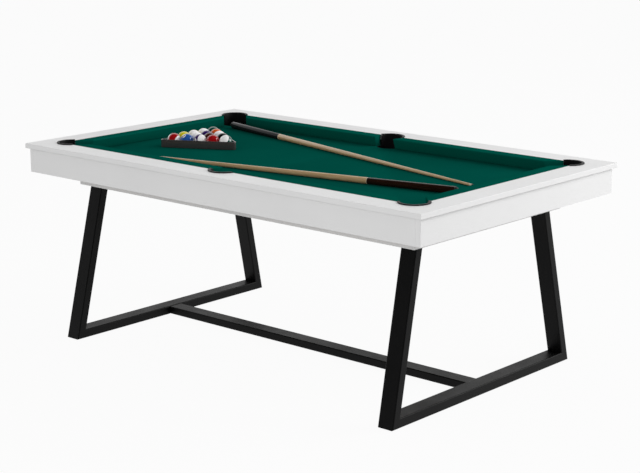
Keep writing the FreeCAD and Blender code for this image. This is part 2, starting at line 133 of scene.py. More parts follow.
def noise(tree, vector, scale, detail=3.0, roughness=0.55, distortion=0.0):
    inputs = {
        "Vector": vector, "Scale": scale, "Detail": detail, "Roughness": roughness,
        "Distortion": distortion,
    }
    return addNode(tree, "ShaderNodeTexNoise", inputs).outputs["Fac"]


def stretched(tree, vector, scale, turn=(0, 0, 0)):
    inputs = {"Vector": vector, "Scale": scale, "Rotation": [math.radians(a) for a in turn]}
    return addNode(tree, "ShaderNodeMapping", inputs).outputs[0]


def objectPlace(tree):
    return addNode(tree, "ShaderNodeTexCoord", {}).outputs["Object"]


def ownPlace(tree):
    # Where a point was before its piece was laid in place, as storeOwnPlace keeps it
    return addNode(tree, "ShaderNodeAttribute", {}, attribute_name="ownPlace").outputs["Vector"]


def newGroup(name, inputs, outputs):
    group = bpy.data.node_groups.new(name, "ShaderNodeTree")
    kinds = {"v": "NodeSocketVector", "c": "NodeSocketColor", "f": "NodeSocketFloat"}
    for direction, sockets in (("INPUT", inputs), ("OUTPUT", outputs)):
        for label, kind in sockets.items():
            group.interface.new_socket(label, in_out=direction, socket_type=kinds[kind])
    givenNode = addNode(group, "NodeGroupInput", {})
    outNode = addNode(group, "NodeGroupOutput", {})
    return group, givenNode.outputs, outNode.inputs


# Effects that several finishes share. A noise is given as its scale, detail and roughness.

# A fine even skin: orange peel, powder coat or moulded grain, with faint patches
skinLook = {"patchDetail": 4.0, "patchRange": (0.3, 0.7), "grainDetail": 2.0}
fineSkin, given, out = newGroup(
    "fineSkin",
    {"Vector": "v", "Colour": "c", "Patch Colour": "c", "Patch Scale": "f", "Grain Scale": "f",
     "Sheen Low": "f", "Sheen High": "f"},
    {"Colour": "c", "Roughness": "f", "Height": "f"},
)
patches = noise(fineSkin, given["Vector"], given["Patch Scale"], skinLook["patchDetail"])
patch = spread(fineSkin, patches, *skinLook["patchRange"])
grain = noise(fineSkin, given["Vector"], given["Grain Scale"], skinLook["grainDetail"])
sheen = spread(fineSkin, patch, 0.0, 1.0, given["Sheen Low"], given["Sheen High"])
wire(fineSkin, out["Colour"], mixColours(fineSkin, patch, given["Colour"], given["Patch Colour"]))
wire(fineSkin, out["Roughness"], sheen)
wire(fineSkin, out["Height"], grain)

# Wood that runs along the vector's Z: long fibres and slow growth lines
woodLook = {
    "lineStretch": (1.0, 1.0, 0.035), "lineNoise": (2.0, 0.45, 0.6),    # detail, roughness, warp
    "lineCount": 7.0, "lineFold": 0.5, "lineShare": 0.55,
    "fibreStretch": (1.0, 1.0, 0.02), "fibres": (2600.0, 3.0, 0.7), "fibreShare": 0.45,
    "toneRange": (0.2, 0.8),
}
woodGrain, given, out = newGroup(
    "woodGrain",
    {"Vector": "v", "Light Colour": "c", "Dark Colour": "c", "Line Scale": "f",
     "Sheen Low": "f", "Sheen High": "f"},
    {"Colour": "c", "Roughness": "f", "Height": "f"},
)
lineWays = stretched(woodGrain, given["Vector"], woodLook["lineStretch"])
growth = noise(woodGrain, lineWays, given["Line Scale"], *woodLook["lineNoise"])
counted = sums(woodGrain, "MULTIPLY", growth, woodLook["lineCount"])
folded = sums(woodGrain, "PINGPONG", counted, woodLook["lineFold"])
growthLines = spread(woodGrain, folded, 0.0, woodLook["lineFold"])
fibreWays = stretched(woodGrain, given["Vector"], woodLook["fibreStretch"])
fibres = noise(woodGrain, fibreWays, *woodLook["fibres"])
blend = blended(
    woodGrain, (growthLines, woodLook["lineShare"]), (fibres, woodLook["fibreShare"]),
)
tone = spread(woodGrain, blend, *woodLook["toneRange"])
sheen = spread(woodGrain, fibres, 0.0, 1.0, given["Sheen Low"], given["Sheen High"])
colour = mixColours(woodGrain, tone, given["Dark Colour"], given["Light Colour"])
wire(woodGrain, out["Colour"], colour)
wire(woodGrain, out["Roughness"], sheen)
wire(woodGrain, out["Height"], fibres)

# Wool cloth: two sets of threads under a short nap
woolLook = {
    "threadTurns": ((0, 0, 45), (0, 0, -45)), "threadWarp": 0.6, "threadDetail": 1.0,
    "nap": (1900.0, 4.0, 0.7), "napRange": (0.2, 0.8), "napHeight": 0.8,
    "fuzz": (260.0, 5.0, 0.75), "fuzzShare": 0.6,
    "drift": (5.0, 3.0), "driftShare": 0.5,
    "wearRange": (0.35, 0.8), "sheen": (0.86, 0.97),
}
woolCloth, given, out = newGroup(
    "woolCloth",
    {"Vector": "v", "Colour": "c", "Worn Colour": "c", "Thread Scale": "f"},
    {"Colour": "c", "Roughness": "f", "Height": "f"},
)
threads = []
for turn in woolLook["threadTurns"]:
    turned = stretched(woolCloth, given["Vector"], (1.0, 1.0, 1.0), turn)
    inputs = {
        "Vector": turned, "Scale": given["Thread Scale"], "Distortion": woolLook["threadWarp"],
        "Detail": woolLook["threadDetail"],
    }
    wave = addNode(woolCloth, "ShaderNodeTexWave", inputs, bands_direction="DIAGONAL")
    threads.append(wave.outputs["Fac"])
weave = sums(woolCloth, "MULTIPLY", *threads)
nap = noise(woolCloth, given["Vector"], *woolLook["nap"])
fuzz = noise(woolCloth, given["Vector"], *woolLook["fuzz"])
drift = noise(woolCloth, given["Vector"], *woolLook["drift"])
wear = blended(woolCloth, (fuzz, woolLook["fuzzShare"]), (drift, woolLook["driftShare"]))
worn = spread(woolCloth, wear, *woolLook["wearRange"])
raisedNap = sums(woolCloth, "MULTIPLY", nap, woolLook["napHeight"])
wire(woolCloth, out["Colour"], mixColours(woolCloth, worn, given["Colour"], given["Worn Colour"]))
wire(woolCloth, out["Roughness"], spread(woolCloth, nap, *woolLook["napRange"], *woolLook["sheen"]))
wire(woolCloth, out["Height"], sums(woolCloth, "ADD", weave, raisedNap))


# Finishes, for the material slots of the record and for the small pieces of cues and balls

def newFinish(name, plain):
    material = bpy.data.materials.new(name)
    material.use_nodes = True
    shader = material.node_tree.nodes["Principled BSDF"]
    for socket, value in plain.items():
        shader.inputs[socket].default_value = value
    return material, material.node_tree, shader


def giveBump(tree, shader, height, strength, distance):
    inputs = {"Strength": strength, "Distance": distance, "Height": height}
    bump = addNode(tree, "ShaderNodeBump", inputs)
    wire(tree, shader.inputs["Normal"], bump.outputs[0])


def dress(tree, shader, group, inputs, bump):
    node = addNode(tree, "ShaderNodeGroup", {}, node_tree=group)
    for socket, value in inputs.items():
        wire(tree, node.inputs[socket], value)
    wire(tree, shader.inputs["Base Color"], node.outputs["Colour"])
    wire(tree, shader.inputs["Roughness"], node.outputs["Roughness"])
    giveBump(tree, shader, node.outputs["Height"], *bump)


def tint(red, green, blue):
    return (red, green, blue, 1.0)


skinFinishes = {
    "whitePaint": {
        "slot": "white_paint", "colour": (0.80, 0.80, 0.80), "patch": (0.785, 0.785, 0.785),
        "patchScale": 3.5, "grain": 520.0, "sheen": (0.36, 0.44), "bump": (0.10, 0.0002),
        "plain": {"Specular IOR Level": 0.4},
    },
    "powderCoat": {
        "slot": "black_steel",
        "colour": (0.0018, 0.0018, 0.0019), "patch": (0.0028, 0.0028, 0.0030),
        "patchScale": 9.0, "grain": 1500.0, "sheen": (0.40, 0.50), "bump": (0.22, 0.0002),
        "plain": {"Specular IOR Level": 0.10},
    },
    "linerPlastic": {
        "slot": "pocket_plastic",
        "colour": (0.0050, 0.0050, 0.0052), "patch": (0.0070, 0.0070, 0.0073),
        "patchScale": 40.0, "grain": 1700.0, "sheen": (0.42, 0.52), "bump": (0.20, 0.0002),
        "plain": {"Specular IOR Level": 0.14},
    },
    "rackPlastic": {
        "slot": "rack_plastic", "colour": (0.040, 0.035, 0.035), "patch": (0.047, 0.041, 0.041),
        "patchScale": 30.0, "grain": 1900.0, "sheen": (0.16, 0.24), "bump": (0.08, 0.0002),
        "plain": {"Specular IOR Level": 0.5, "Coat Weight": 0.6, "Coat Roughness": 0.12},
    },
    "dullZinc": {
        "slot": "zinc_steel", "colour": (0.50, 0.50, 0.51), "patch": (0.38, 0.38, 0.39),
        "patchScale": 160.0, "grain": 900.0, "sheen": (0.30, 0.50), "bump": (0.15, 0.0002),
        "plain": {"Metallic": 1.0},
    },
    "pressedLeather": {
        "slot": "cue_tip", "colour": (0.030, 0.026, 0.024), "patch": (0.050, 0.060, 0.085),
        "patchScale": 600.0, "grain": 3000.0, "sheen": (0.75, 0.9), "bump": (0.5, 0.0002),
        "plain": {},
    },
    "bumperRubber": {
        "slot": "pocket_plastic", "colour": (0.012, 0.012, 0.012), "patch": (0.018, 0.018, 0.018),
        "patchScale": 90.0, "grain": 2400.0, "sheen": (0.55, 0.7), "bump": (0.3, 0.0002),
        "plain": {},
    },
    "ferrulePlastic": {
        "slot": "cue_maple", "colour": (0.60, 0.50, 0.38), "patch": (0.54, 0.44, 0.32),
        "patchScale": 200.0, "grain": 1200.0, "sheen": (0.22, 0.3), "bump": (0.05, 0.0002),
        "plain": {},
    },
    "digitInk": {
        "slot": None, "colour": (0.008, 0.008, 0.008), "patch": (0.012, 0.012, 0.012),
        "patchScale": 400.0, "grain": 2500.0, "sheen": (0.08, 0.16), "bump": (0.02, 0.0001),
        "plain": {},
    },
}
finishes = {}
slotFinishes = {}
for name, values in skinFinishes.items():
    material, tree, shader = newFinish(name, values["plain"])
    dress(tree, shader, fineSkin, {
        "Vector": objectPlace(tree),
        "Colour": tint(*values["colour"]), "Patch Colour": tint(*values["patch"]),
        "Patch Scale": values["patchScale"], "Grain Scale": values["grain"],
        "Sheen Low": values["sheen"][0], "Sheen High": values["sheen"][1],
    }, values["bump"])
    finishes[name] = material
    slotFinishes.setdefault(values["slot"], material)

# Cue woods follow each cue's own length, which is stored on the mesh. The softwood beams under the
# bed run along Y, so their pattern is turned.
woodFinishes = {
    "varnishedMaple": {
        "slot": "cue_maple", "light": (0.56, 0.385, 0.205), "dark": (0.43, 0.27, 0.13),
        "lines": 110.0, "sheen": (0.22, 0.30), "bump": (0.05, 0.0001), "turn": None,
        "plain": {"Coat Weight": 0.5, "Coat Roughness": 0.12},
    },
    "brownLacquer": {
        "slot": "brown_butt", "light": (0.022, 0.0075, 0.0035), "dark": (0.011, 0.0035, 0.002),
        "lines": 90.0, "sheen": (0.16, 0.22), "bump": (0.05, 0.0001), "turn": None,
        "plain": {"Specular IOR Level": 0.25},
    },
    "blackLacquer": {
        "slot": "black_butt", "light": (0.014, 0.014, 0.0145), "dark": (0.008, 0.008, 0.0085),
        "lines": 90.0, "sheen": (0.12, 0.18), "bump": (0.05, 0.0001), "turn": None,
        "plain": {"Specular IOR Level": 0.14},
    },
    "planedSoftwood": {
        "slot": "softwood", "light": (0.66, 0.50, 0.31), "dark": (0.45, 0.30, 0.15),
        "lines": 22.0, "sheen": (0.6, 0.75), "bump": (0.3, 0.0002), "turn": (90, 0, 0),
        "plain": {},
    },
}
for name, values in woodFinishes.items():
    material, tree, shader = newFinish(name, values["plain"])
    if values["turn"]:
        place = stretched(tree, objectPlace(tree), (1.0, 1.0, 1.0), values["turn"])
    else:
        place = ownPlace(tree)
    dress(tree, shader, woodGrain, {
        "Vector": place,
        "Light Colour": tint(*values["light"]), "Dark Colour": tint(*values["dark"]),
        "Line Scale": values["lines"],
        "Sheen Low": values["sheen"][0], "Sheen High": values["sheen"][1],
    }, values["bump"])
    finishes[name] = material
    slotFinishes[values["slot"]] = material

clothFinishes = {
    "bedWool": {
        "slot": "cloth", "colour": (0.0, 0.067, 0.050), "worn": (0.001, 0.080, 0.060),
        "threads": 900.0, "bump": (0.35, 0.0002), "plain": {"Specular IOR Level": 0.0},
    },
    # The cushions' wool is the bed's wool painted lighter: painted light on the cushions' shaded
    # faces
    "paintedLightCushionWool": {
        "slot": "cushion", "colour": (0.0, 0.076, 0.055), "worn": (0.001, 0.088, 0.064),
        "threads": 900.0, "bump": (0.35, 0.0002), "plain": {"Specular IOR Level": 0.0},
    },
}
for name, values in clothFinishes.items():
    material, tree, shader = newFinish(name, values["plain"])
    dress(tree, shader, woolCloth, {
        "Vector": objectPlace(tree),
        "Colour": tint(*values["colour"]), "Worn Colour": tint(*values["worn"]),
        "Thread Scale": values["threads"],
    }, values["bump"])
    finishes[name] = material
    slotFinishes[values["slot"]] = material

# Pressed wood chips, for the bed panel and the blocks on it, darkened to black round each pocket
chipBoard = {
    "pale": (0.60, 0.46, 0.29), "dark": (0.36, 0.25, 0.14), "chip": 240.0, "chipShare": 0.6,
    "dust": (1400.0, 4.0, 0.7), "dustShare": 0.5, "dustRange": (0.2, 0.8), "sheen": (0.7, 0.9),
    "pocketBlack": (0.010, 0.010, 0.010), "pocketBlackReach": (0.090, 0.078),
    "bump": (0.4, 0.0003), "plain": {"Specular IOR Level": 0.25},
}
material, tree, shader = newFinish("chipBoard", chipBoard["plain"])
place = objectPlace(tree)
chips = addNode(tree, "ShaderNodeTexVoronoi", {
    "Vector": place, "Scale": chipBoard["chip"], "Randomness": 1.0,
})
shade = addNode(tree, "ShaderNodeSeparateColor", {"Color": chips.outputs["Color"]}).outputs[0]
dust = noise(tree, place, *chipBoard["dust"])
chipTone = blended(tree, (shade, chipBoard["chipShare"]), (dust, chipBoard["dustShare"]))
wood = mixColours(tree, chipTone, tint(*chipBoard["dark"]), tint(*chipBoard["pale"]))
axes = addNode(tree, "ShaderNodeSeparateXYZ", {"Vector": place}).outputs
quarter = addNode(tree, "ShaderNodeCombineXYZ", {
    "X": sums(tree, "ABSOLUTE", axes["X"]), "Y": sums(tree, "ABSOLUTE", axes["Y"]),
}).outputs[0]
reaches = []
for pocketX, pocketY in pockets.values():
    away = addNode(tree, "ShaderNodeVectorMath", {}, operation="DISTANCE")
    wire(tree, away.inputs[0], quarter)
    wire(tree, away.inputs[1], (pocketX, pocketY, 0.0))
    reaches.append(away.outputs["Value"])
# Black within 78 mm of each pocket's middle, fading out by 90 mm
nearPocket = spread(tree, sums(tree, "MINIMUM", *reaches), *chipBoard["pocketBlackReach"])
colour = mixColours(tree, nearPocket, wood, tint(*chipBoard["pocketBlack"]))
roughness = spread(tree, dust, *chipBoard["dustRange"], *chipBoard["sheen"])
wire(tree, shader.inputs["Base Color"], colour)
wire(tree, shader.inputs["Roughness"], roughness)
giveBump(tree, shader, dust, *chipBoard["bump"])
finishes["chipBoard"] = material
slotFinishes["board"] = material
print("finishes made:", len(finishes))


# Mesh helpers

def placeMesh(name, bm):
    mesh = bpy.data.meshes.new(name)
    bm.to_mesh(mesh)
    bm.free()
    placed = bpy.data.objects.new(name, mesh)
    scene.collection.objects.link(placed)
    return placed


def smoothMesh(mesh, angle):
    mesh.shade_smooth()
    mesh.set_sharp_from_angle(angle=math.radians(angle))


def givePiece(name, bm, finish, body, smoothAngle=35.0):
    # A finished mesh becomes a piece that rides on a body
    piece = placeMesh(name, bm)
    smoothMesh(piece.data, smoothAngle)
    piece.data.materials.append(finish)
    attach(piece, body)
    return piece


def storeOwnPlace(bm):
    # Keeps where each point was before the piece is laid in place, for patterns that follow it
    layer = bm.verts.layers.float_vector.new("ownPlace")
    for vert in bm.verts:
        vert[layer] = vert.co


def vertsIn(items):
    return [item for item in items if isinstance(item, bmesh.types.BMVert)]


def raiseFaces(bm, vec):
    # Extrudes the whole flat mesh and gives the moved points
    raised = vertsIn(bmesh.ops.extrude_face_region(bm, geom=bm.faces[:])["geom"])
    bmesh.ops.translate(bm, vec=vec, verts=raised)
    return raised


def turnedShape(profile, steps):
    # Solid of revolution about Z from (radius, height) points
    bm = bmesh.new()
    verts = [bm.verts.new((radius, 0, height)) for radius, height in profile]
    edges = [bm.edges.new(pair) for pair in zip(verts, verts[1:])]
    bmesh.ops.spin(
        bm, geom=verts + edges, cent=(0, 0, 0), axis=(0, 0, 1), angle=math.tau, steps=steps,
        use_merge=True,
    )
    bmesh.ops.remove_doubles(bm, verts=bm.verts, dist=mergeReach)
    bmesh.ops.recalc_face_normals(bm, faces=bm.faces)
    return bm


def roundProfile(points, rounds, segments=5):
    # Profile with the named corners rounded: an arc that touches both sides replaces each of them
    result = []
    for i, point in enumerate(points):
        radius = rounds.get(i)
        if not radius:
            result.append(point)
            continue
        corner = Vector(point)
        before = (Vector(points[i - 1]) - corner).normalized()
        after = (Vector(points[(i + 1) % len(points)]) - corner).normalized()
        half = before.angle(after) / 2
        centre = corner + (before + after).normalized() * (radius / math.sin(half))
        start = corner + before * (radius / math.tan(half)) - centre
        end = corner + after * (radius / math.tan(half)) - centre
        for k in range(segments + 1):
            step = start.lerp(end, k / segments).normalized() * radius
            result.append(tuple(centre + step))
    return result


def boxShape(low, high, turn=0.0):
    bm = bmesh.new()
    bmesh.ops.create_cube(bm, size=1.0)
    low = Vector(low)
    high = Vector(high)
    bmesh.ops.scale(bm, vec=high - low, verts=bm.verts)
    bmesh.ops.translate(bm, vec=(low + high) / 2, verts=bm.verts)
    bmesh.ops.rotate(bm, cent=(0, 0, 0), matrix=Matrix.Rotation(turn, 3, "Z"), verts=bm.verts)
    return bm


def cutAway(piece, cutters):
    # Takes closed boxes out of a piece for good
    objects = []
    for bm in cutters:
        cutter = placeMesh("cutter", bm)
        modifier = piece.modifiers.new("cut", "BOOLEAN")
        modifier.operation = "DIFFERENCE"
        modifier.solver = "EXACT"
        modifier.object = cutter
        objects.append(cutter)
    bpy.context.view_layer.update()
    shaped = piece.evaluated_get(bpy.context.evaluated_depsgraph_get())
    mesh = bpy.data.meshes.new_from_object(shaped)
    old = piece.data
    piece.modifiers.clear()
    piece.data = mesh
    mesh.name = old.name + "Cut"
    bpy.data.meshes.remove(old)
    for cutter in objects:
        bpy.data.objects.remove(cutter)


def softenEdges(bm, width, segments, sharper=30.0):
    sharpAngle = math.radians(sharper)
    sharp = [edge for edge in bm.edges if edge.is_manifold and edge.calc_face_angle(0) > sharpAngle]
    bmesh.ops.bevel(
        bm, geom=sharp, offset=width, segments=segments, profile=0.5, affect="EDGES", material=-1,
        clamp_overlap=True,
    )


def softenWhenShown(piece, values):
    # The same as a modifier, for a mesh that stays as it is
    edge = piece.modifiers.new("edge", "BEVEL")
    edge.width = values["width"]
    edge.segments = values["segments"]
    edge.limit_method = "ANGLE"
    edge.angle_limit = math.radians(values["angle"])
    return edge


# Frame pieces keep their CAD shape and get their finish, and the painted boards get softened edges.
# The balls have no finish here, because pieces of the scene replace them.

boardEdge = {"width": 0.0012, "segments": 2, "angle": 50.0, "weld": 0.00002}

for part in frame["record"]["subparts"]:
    node = frame["nodes"][part["node"]]
    finish = slotFinishes.get(part["material_slot"])
    if finish is None:
        continue
    if not node.material_slots:
        node.data.materials.append(finish)
    for nodeSlot in node.material_slots:
        nodeSlot.material = finish
    if part["material_slot"] == "white_paint":
        weld = node.modifiers.new("weld", "WELD")
        weld.merge_threshold = boardEdge["weld"]
        softenWhenShown(node, boardEdge).harden_normals = True
print("frame pieces finished")


# Bed cloth: one sheet of wool glued to the bed, cut round at every pocket

bedCloth = {
    "cornerRadius": 0.051, "sideRadius": 0.053, "arcSteps": 28,
    "thickness": 0.001, "edgeRound": 0.0007, "edgeSegments": 2,
    "cutArea": 1.718,
}


def pocketArc(bm, centre, radius, startAngle, sweep):
    x, y = centre
    startX = x + radius * math.cos(startAngle)
    startY = y + radius * math.sin(startAngle)
    start = bm.verts.new((startX, startY, 0))
    made = bmesh.ops.spin(
        bm, geom=[start], cent=(x, y, 0), axis=(0, 0, 1), angle=sweep, steps=bedCloth["arcSteps"],
    )
    return start, vertsIn(made["geom_last"])[0]


def makeBedCloth():
    bm = bmesh.new()
    cornerX, cornerY = pockets["corner"]
    sideX, sideY = pockets["side"]
    cornerLift = math.asin((inner["railX"] - cornerX) / bedCloth["cornerRadius"])
    sideLift = math.asin((inner["railY"] - sideY) / bedCloth["sideRadius"])
    quarter = math.pi / 2
    ends = []
    # Clockwise arcs, met in counter-clockwise order round the bed from the right rear corner
    for signX, signY in ((1, 1), (-1, 1), (-1, -1), (1, -1)):
        middle = math.atan2(-signY, -signX)
        reach = quarter / 2 + cornerLift
        centre = (signX * cornerX, signY * cornerY)
        ends.append(pocketArc(bm, centre, bedCloth["cornerRadius"], middle + reach, -2 * reach))
        if signX == signY:
            # A side pocket comes next
            middle = -quarter if signY > 0 else quarter
            reach = quarter + sideLift
            centre = (sideX, signY * sideY)
            ends.append(pocketArc(bm, centre, bedCloth["sideRadius"], middle + reach, -2 * reach))
    for arc, nextArc in zip(ends, ends[1:] + ends[:1]):
        bm.edges.new((arc[1], nextArc[0]))
    bmesh.ops.contextual_create(bm, geom=bm.edges[:])
    top = raiseFaces(bm, (0, 0, bedCloth["thickness"]))
    bmesh.ops.translate(bm, vec=(0, 0, levels["bedTop"]), verts=bm.verts)
    bmesh.ops.recalc_face_normals(bm, faces=bm.faces)
    rim = [edge for edge in bm.edges if all(vert in top for vert in edge.verts)]
    bmesh.ops.bevel(
        bm, geom=rim, offset=bedCloth["edgeRound"], segments=bedCloth["edgeSegments"], profile=0.5,
        affect="EDGES", material=-1,
    )
    piece = givePiece("bedCloth", bm, finishes["bedWool"], "table")
    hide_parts("bed_cloth")


makeBedCloth()
print("bed cloth made")


# Cushions: rubber with a round nose, wrapped in the same cloth, with slanting ends at the pockets.
# noseTip and foot are measured out from the rail. An end is given where it crosses the nose line
# and where it meets the rail, from the table's middle.

cushion = {
    "top": 0.7821, "noseRound": 0.0045, "noseSegments": 10, "noseTip": 0.0555, "foot": 0.0440,
    "sideEnd": 0.046, "sideBack": 0.05934,
    "cornerNoseX": 0.7641, "cornerBackX": 0.8205,
    "cornerNoseY": 0.3661, "cornerBackY": 0.4225,
    "edgeRound": 0.0020, "edgeSegments": 3, "smooth": 50.0, "fill": 1.0,
}


def cushionBar(length):
    # Runs along X from -length to length, its back on y = 0 and its nose towards -Y
    bm = bmesh.new()
    points = [
        (0, levels["clothTop"]), (0, cushion["top"]), (-cushion["noseTip"], cushion["top"]),
        (-cushion["foot"], levels["clothTop"]),
    ]
    verts = [bm.verts.new((-length, y, z)) for y, z in points]
    bm.faces.new(verts)
    bmesh.ops.bevel(
        bm, geom=[verts[2]], offset=cushion["noseRound"], segments=cushion["noseSegments"],
        profile=0.5, affect="VERTICES", material=-1,
    )
    raiseFaces(bm, (2 * length, 0, 0))
    return bm


def cutFacing(bm, nosePoint, backPoint, keepSide):
    # Upright plane through the nose end and the back end; keepSide is a point of what stays
    nose = Vector((*nosePoint, 0))
    along = Vector((*backPoint, 0)) - nose
    outward = Vector((along.y, -along.x, 0)).normalized()
    if (Vector((*keepSide, 0)) - nose).dot(outward) > 0:
        outward.negate()
    geometry = bm.verts[:] + bm.edges[:] + bm.faces[:]
    bmesh.ops.bisect_plane(bm, geom=geometry, plane_co=nose, plane_no=outward, clear_outer=True)
    bmesh.ops.holes_fill(bm, edges=[edge for edge in bm.edges if edge.is_boundary])


def finishCushion(bm, name, node):
    bmesh.ops.recalc_face_normals(bm, faces=bm.faces)
    softenEdges(bm, cushion["edgeRound"], cushion["edgeSegments"])
    # The cushion wool is painted lighter than the bed's, as painted light on the shaded faces
    piece = givePiece(name, bm, finishes["paintedLightCushionWool"], "table", cushion["smooth"])
    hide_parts(node)


def makeLongCushion(name, node, side, face):
    bm = cushionBar(inner["railX"])
    bmesh.ops.translate(bm, vec=(0, inner["railY"], 0), verts=bm.verts)
    middle = (cushion["cornerNoseX"] / 2, inner["noseY"])
    for noseEnd, backEnd in (("sideEnd", "sideBack"), ("cornerNoseX", "cornerBackX")):
        nosePoint = (cushion[noseEnd], inner["noseY"])
        cutFacing(bm, nosePoint, (cushion[backEnd], inner["railY"]), middle)
    bmesh.ops.scale(bm, vec=(side, face, 1), verts=bm.verts)
    finishCushion(bm, name, node)


def makeEndCushion(name, node, side):
    bm = cushionBar(inner["railY"])
    quarterTurn = Matrix.Rotation(math.radians(-90), 3, "Z")
    bmesh.ops.rotate(bm, cent=(0, 0, 0), matrix=quarterTurn, verts=bm.verts)
    bmesh.ops.translate(bm, vec=(inner["railX"], 0, 0), verts=bm.verts)
    for face in (-1, 1):
        nosePoint = (inner["noseX"], face * cushion["cornerNoseY"])
        backPoint = (inner["railX"], face * cushion["cornerBackY"])
        cutFacing(bm, nosePoint, backPoint, (inner["noseX"], 0))
    bmesh.ops.scale(bm, vec=(side, 1, 1), verts=bm.verts)
    finishCushion(bm, name, node)


for faceName, face in faceSigns:
    for sideName, side in sideSigns:
        pieceName = faceName + sideName.title() + "Cushion"
        makeLongCushion(pieceName, f"{faceName}_{sideName}_cushion", side, face)
for sideName, side in sideSigns:
    makeEndCushion(sideName + "EndCushion", sideName + "_cushion", side)
print("cushions made")


# Pocket liners: moulded cups with a raised lip on the rails, open towards the bed. Above the bed
# the wall ends "mouth" past the cup's middle on the bed's side, and "turn" is the way off the bed.

cornerLiner = {
    "place": pockets["corner"], "inside": 0.047, "outside": 0.050, "lip": 0.057,
    "mouth": 0.0100, "turn": 45.0,
}
sideLiner = {
    "place": pockets["side"], "inside": 0.049, "outside": 0.052, "lip": 0.060,
    "mouth": -0.0060, "turn": 90.0,
}
liner = {
    "bottom": 0.672, "floor": 0.003, "lipTop": 0.785, "steps": 128, "smooth": 40.0,
    "lipRound": 0.0013, "insideRound": 0.0022, "cupRound": 0.008,
    "edge": {"width": 0.0006, "segments": 2, "angle": 50.0},
    "past": 0.02,       # how far a cutting box runs past what it cuts
}


def makeLiner(name, node, values, side, face):
    bottom = liner["bottom"]
    railTop = levels["railTop"]
    above = liner["lipTop"] + liner["past"]
    profile = [
        (0, bottom), (values["outside"], bottom), (values["outside"], railTop),
        (values["lip"], railTop), (values["lip"], liner["lipTop"]),
        (values["inside"], liner["lipTop"]), (values["inside"], bottom + liner["floor"]),
        (0, bottom + liner["floor"]),
    ]
    rounds = {
        1: liner["cupRound"], 4: liner["lipRound"], 5: liner["insideRound"],
        6: liner["cupRound"] - liner["floor"],
    }
    bm = turnedShape(roundProfile(profile, rounds), liner["steps"])
    plastic = finishes["linerPlastic"]
    piece = givePiece(name, bm, plastic, "table", liner["smooth"])
    reach = values["lip"] + liner["past"]
    mouthLow = (-reach, -reach, levels["bedTop"])
    mouthHigh = (-values["mouth"], reach, above)
    # The lip goes where no rail is under it
    x, y = values["place"]
    lipLow = (-inner["railX"] - x, -inner["railY"] - y, railTop)
    lipHigh = (inner["railX"] - x, inner["railY"] - y, above)
    mouth = boxShape(mouthLow, mouthHigh, math.radians(values["turn"]))
    cutAway(piece, [mouth, boxShape(lipLow, lipHigh)])
    bm = bmesh.new()
    bm.from_mesh(piece.data)
    bmesh.ops.remove_doubles(bm, verts=bm.verts, dist=mergeReach)
    bmesh.ops.translate(bm, vec=(x, y, 0), verts=bm.verts)
    bmesh.ops.scale(bm, vec=(side, face, 1), verts=bm.verts)
    if side * face < 0:
        bmesh.ops.reverse_faces(bm, faces=bm.faces)
    bm.to_mesh(piece.data)
    bm.free()
    smoothMesh(piece.data, liner["smooth"])
    softenWhenShown(piece, liner["edge"])
    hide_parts(node)


for faceName, face in faceSigns:
    for sideName, side in sideSigns:
        pieceName = faceName + sideName.title() + "Liner"
        makeLiner(pieceName, f"{faceName}_{sideName}_pocket", cornerLiner, side, face)
    makeLiner(faceName + "SideLiner", faceName + "_side_pocket", sideLiner, 1, face)
print("pocket liners made")


# Rack: a triangle of moulded plastic with round corners

rack = {
    "centre": (-0.59172, 0.00868), "turn": 28.4,
    "ballPitch": 0.0544, "ballSpace": 0.0548, "rows": 5,
    "wall": 0.005, "height": 0.032, "cornerRound": 0.013, "cornerSegments": 12,
    "edgeRound": 0.0020, "edgeSegments": 3, "sharper": 60.0,
}


def makeRack():
    innerSide = rack["ballPitch"] * (rack["rows"] - 1) + rack["ballSpace"] * math.sqrt(3)
    outerSide = innerSide + rack["wall"] * 2 * math.sqrt(3)
    bm = bmesh.new()
    bmesh.ops.create_circle(bm, cap_ends=True, segments=3, radius=outerSide / math.sqrt(3))
    # A corner's rounding starts at its radius over the tangent of half its 60 degrees
    bmesh.ops.bevel(
        bm, geom=bm.verts[:], offset=rack["cornerRound"] / math.tan(math.radians(30)),
        segments=rack["cornerSegments"], profile=0.5, affect="VERTICES", material=-1,
    )
    bmesh.ops.inset_region(
        bm, faces=bm.faces[:], thickness=rack["wall"], use_even_offset=True, use_boundary=True,
    )
    middle = max(bm.faces, key=lambda item: item.calc_area() * len(item.verts))
    bmesh.ops.delete(bm, geom=[middle], context="FACES_ONLY")
    raiseFaces(bm, (0, 0, rack["height"]))
    bmesh.ops.recalc_face_normals(bm, faces=bm.faces)
    softenEdges(bm, rack["edgeRound"], rack["edgeSegments"], rack["sharper"])
    # The circle's first corner points along Y, which is the apex before the rack is turned
    placing = Matrix.Translation((*rack["centre"], levels["clothTop"] + levels["looseGap"]))
    placing @= Matrix.Rotation(math.radians(rack["turn"]), 4, "Z")
    bmesh.ops.transform(bm, matrix=placing, verts=bm.verts)
    piece = givePiece("rackFrame", bm, finishes["rackPlastic"], "rack")
    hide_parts("rack")


makeRack()
print("rack made")


# Cues: turned shafts with lacquered butts, pale joint rings and ferrules, rubber bumpers and
# leather tips. A cue's end and aim are shares of the way from the middle to the nose lines.

